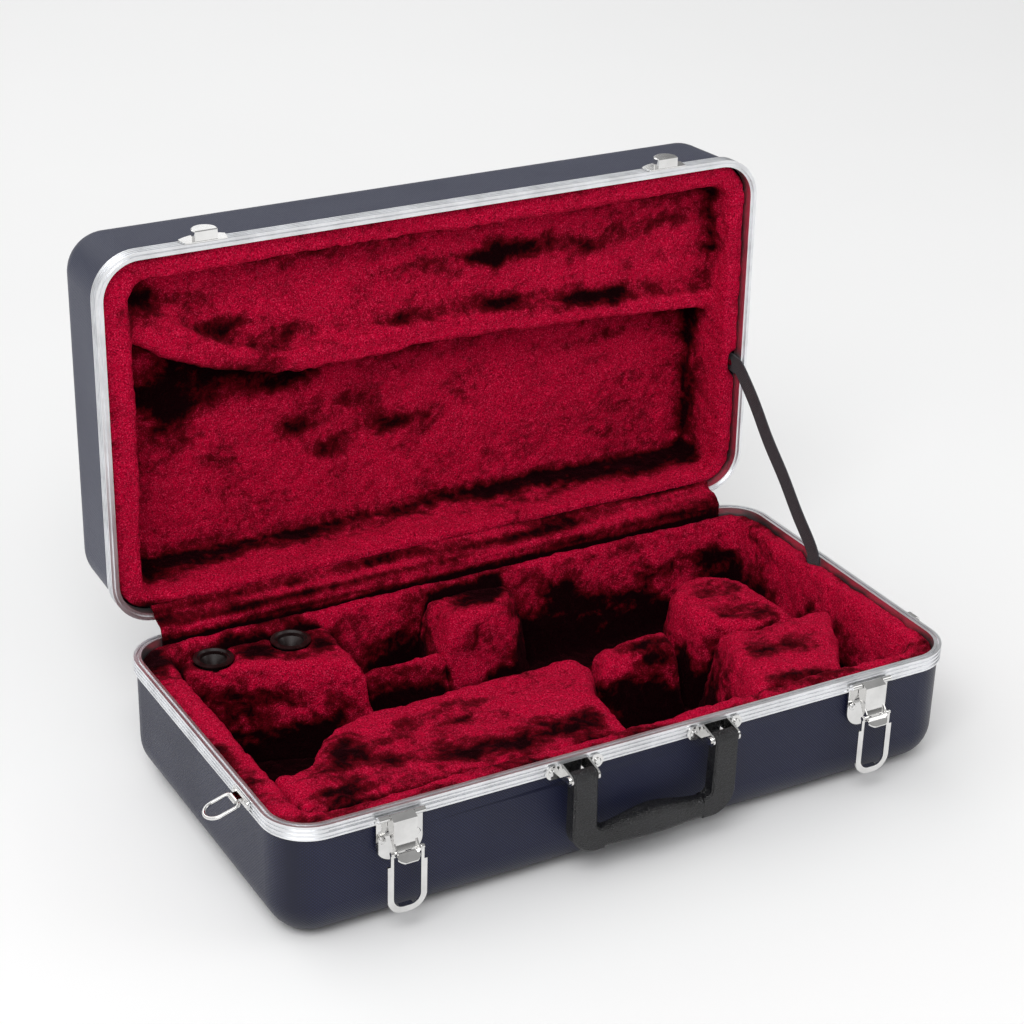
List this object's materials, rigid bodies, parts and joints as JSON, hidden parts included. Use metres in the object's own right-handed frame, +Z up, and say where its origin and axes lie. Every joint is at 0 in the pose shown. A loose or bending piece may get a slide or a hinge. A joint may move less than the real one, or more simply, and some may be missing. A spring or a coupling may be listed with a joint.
{
  "type": "trumpet case",
  "caption": "Hard-shell trumpet case with metal rims, hinged lid on a stay strap, draw latches, carrying handle, D-rings and a plush lining shaped for the instrument.",
  "frame": {"origin": "centre of the base's flat underside", "axes": "+X to the right along the case seen from the handle side, +Y towards the hinges, +Z up"},
  "size_m": [0.5763, 0.4026, 0.3903],
  "materials": {
    "base_shell": "navy ABS with a fine raised diamond grain",
    "lid_shell": "grey-navy ABS with a fine raised diamond grain",
    "rim": "satin extruded aluminium with bright ridges",
    "plush": "crimson crushed plush over foam",
    "cup": "dark moulded cups",
    "webbing": "black woven webbing",
    "handle": "black moulded leather grain",
    "hardware": "nickel plated pressed steel"
  },
  "bodies": {
    "base": {"base_shell": "base_shell", "base_rim": "rim", "base_floor_pad": "plush", "base_front_pad": "plush", "base_rear_pad": "plush", "base_left_pad": "plush", "base_right_pad": "plush", "mouthpiece_block": "plush", "bell_side_block": "plush", "rear_divider": "plush", "rear_centre_block": "plush", "valve_rest": "plush", "valve_side_block": "plush", "rear_side_block": "plush", "hinge_cover": "plush", "mouthpiece_cup_left": "cup", "mouthpiece_cup_right": "cup", "lid_stay_strap": "webbing", "latch_plate_left": "hardware", "latch_plate_right": "hardware", "latch_pin_left": "hardware", "latch_pin_right": "hardware", "latch_rivets": "hardware", "handle_brackets": "hardware", "handle_rivets": "hardware", "handle_pins": "hardware", "d_ring_clip_left": "hardware", "d_ring_clip_right": "hardware", "d_ring_rivets_left": "hardware", "d_ring_rivets_right": "hardware", "hinge_base_leaves": "hardware", "hinge_pins": "hardware", "hinge_base_rivets": "hardware", "stay_rivet_base": "hardware"},
    "lid": {"lid_shell": "lid_shell", "lid_rim": "rim", "lid_lining": "plush", "lid_upper_pad": "plush", "lid_ridge": "plush", "latch_catch_left": "hardware", "latch_catch_right": "hardware", "hinge_lid_leaves": "hardware", "hinge_lid_rivets": "hardware", "stay_rivet_lid": "hardware"},
    "lever_left": {"latch_lever_left": "hardware"},
    "lever_right": {"latch_lever_right": "hardware"},
    "bail_left": {"latch_bail_left": "hardware"},
    "bail_right": {"latch_bail_right": "hardware"},
    "handle": {"handle_arm_left": "handle", "handle_arm_right": "handle", "handle_grip": "handle"},
    "d_ring_left": {"d_ring_left": "hardware"},
    "d_ring_right": {"d_ring_right": "hardware"}
  },
  "joints": [
    {"name": "lid_hinge", "type": "hinge", "parent": "base", "child": "lid", "pos_m": [0, 0.1479, 0.094], "axis": [1, 0, 0], "range_deg": [0, 91], "deforming": ["lid_stay_strap", "hinge_cover"]},
    {"name": "lever_left_pivot", "type": "hinge", "parent": "base", "child": "lever_left", "pos_m": [-0.1875, -0.1438, 0.089], "axis": [-1, 0, 0], "range_deg": [0, 45]},
    {"name": "bail_left_pivot", "type": "hinge", "parent": "lever_left", "child": "bail_left", "pos_m": [-0.1875, -0.1525, 0.067], "axis": [-1, 0, 0], "range_deg": [0, 160]},
    {"name": "lever_right_pivot", "type": "hinge", "parent": "base", "child": "lever_right", "pos_m": [0.1875, -0.1438, 0.089], "axis": [-1, 0, 0], "range_deg": [0, 45]},
    {"name": "bail_right_pivot", "type": "hinge", "parent": "lever_right", "child": "bail_right", "pos_m": [0.1875, -0.1525, 0.067], "axis": [-1, 0, 0], "range_deg": [0, 160]},
    {"name": "handle_pivot", "type": "hinge", "parent": "base", "child": "handle", "pos_m": [0, -0.1525, 0.085], "axis": [-1, 0, 0], "range_deg": [0, 150]},
    {"name": "d_ring_left_pivot", "type": "hinge", "parent": "base", "child": "d_ring_left", "pos_m": [-0.2752, -0.078, 0.0887], "axis": [0, 1, 0], "range_deg": [-65, 100]},
    {"name": "d_ring_right_pivot", "type": "hinge", "parent": "base", "child": "d_ring_right", "pos_m": [0.2752, -0.078, 0.0887], "axis": [0, -1, 0], "range_deg": [0, 165]}
  ]
}
